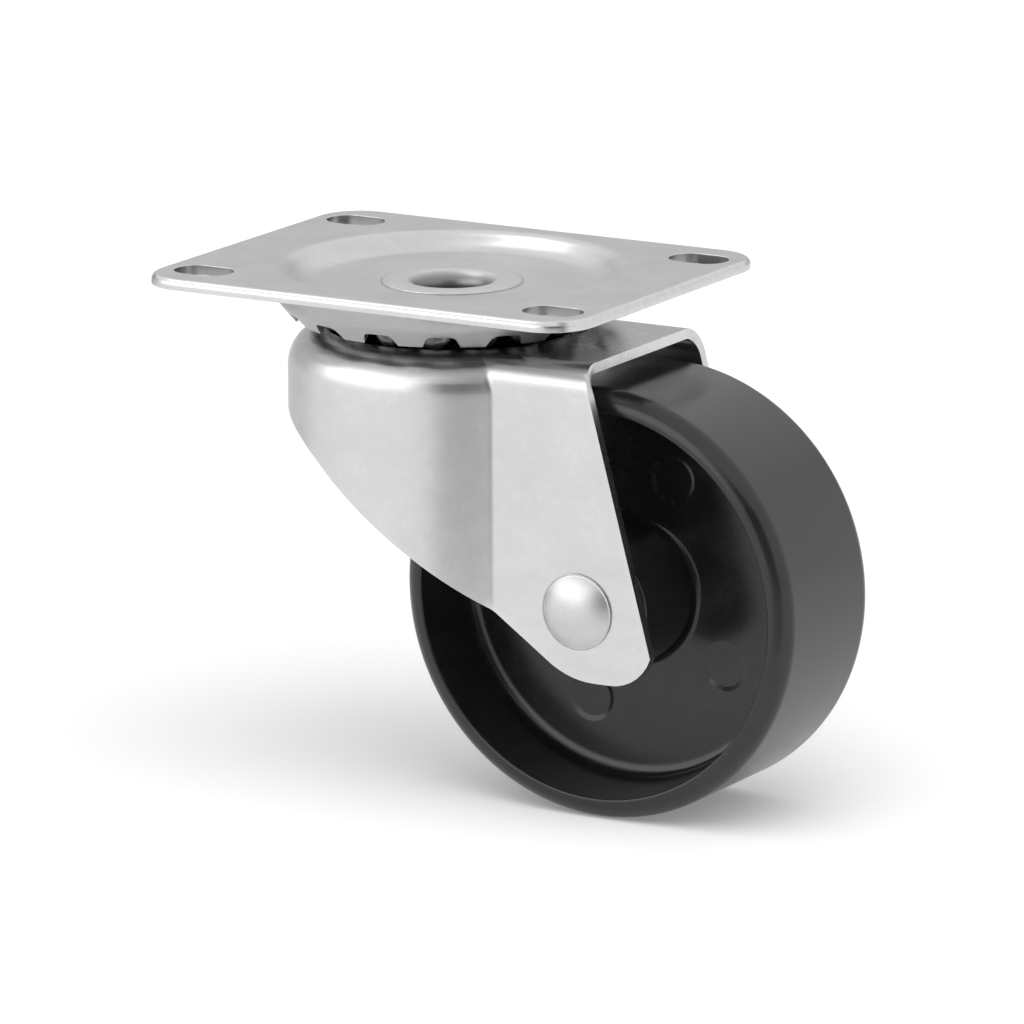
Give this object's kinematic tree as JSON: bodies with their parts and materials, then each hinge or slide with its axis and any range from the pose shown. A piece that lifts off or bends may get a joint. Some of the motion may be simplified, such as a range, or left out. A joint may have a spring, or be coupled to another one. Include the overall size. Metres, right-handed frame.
{
  "type": "swivel castor",
  "caption": "Swivel castor with a rectangular slotted mounting plate, a double ball race, a pressed steel fork and a black plastic wheel.",
  "frame": {"origin": "centre of the plate's mounting face, on the swivel axis", "axes": "+Z out of the mounting face, along the swivel axis; +X the trailing direction, in which the axle is offset; the axle lies along Y"},
  "size_m": [0.0778, 0.046, 0.0601],
  "materials": {
    "zinc_sheet": "satin bright zinc plating on pressed sheet steel",
    "zinc_rivet": "bright zinc plating on a formed rivet",
    "bearing_steel": "polished hardened steel, lightly greased",
    "black_plastic": "glossy black moulded plastic"
  },
  "bodies": {
    "plate": {"top_plate": "zinc_sheet", "race_cover": "zinc_sheet", "king_pin": "zinc_rivet", "lower_race": "bearing_steel", "lower_ball_1": "bearing_steel", "lower_ball_2": "bearing_steel", "lower_ball_3": "bearing_steel", "lower_ball_4": "bearing_steel", "lower_ball_5": "bearing_steel", "lower_ball_6": "bearing_steel", "lower_ball_7": "bearing_steel", "lower_ball_8": "bearing_steel", "lower_ball_9": "bearing_steel", "lower_ball_10": "bearing_steel", "lower_ball_11": "bearing_steel", "lower_ball_12": "bearing_steel", "lower_ball_13": "bearing_steel"},
    "fork": {"fork": "zinc_sheet", "axle_rivet": "zinc_rivet", "axle_sleeve": "bearing_steel", "upper_ball_1": "bearing_steel", "upper_ball_2": "bearing_steel", "upper_ball_3": "bearing_steel", "upper_ball_4": "bearing_steel", "upper_ball_5": "bearing_steel", "upper_ball_6": "bearing_steel", "upper_ball_7": "bearing_steel", "upper_ball_8": "bearing_steel", "upper_ball_9": "bearing_steel", "upper_ball_10": "bearing_steel", "upper_ball_11": "bearing_steel", "upper_ball_12": "bearing_steel", "upper_ball_13": "bearing_steel", "upper_ball_14": "bearing_steel", "upper_ball_15": "bearing_steel", "upper_ball_16": "bearing_steel"},
    "wheel": {"wheel": "black_plastic"}
  },
  "joints": [
    {"name": "swivel", "type": "hinge", "parent": "plate", "child": "fork", "pos_m": [0, 0, 0], "axis": [0, 0, 1], "continuous": true},
    {"name": "wheel_spin", "type": "hinge", "parent": "fork", "child": "wheel", "pos_m": [0.0242, 0, -0.0351], "axis": [0, 1, 0], "continuous": true}
  ]
}
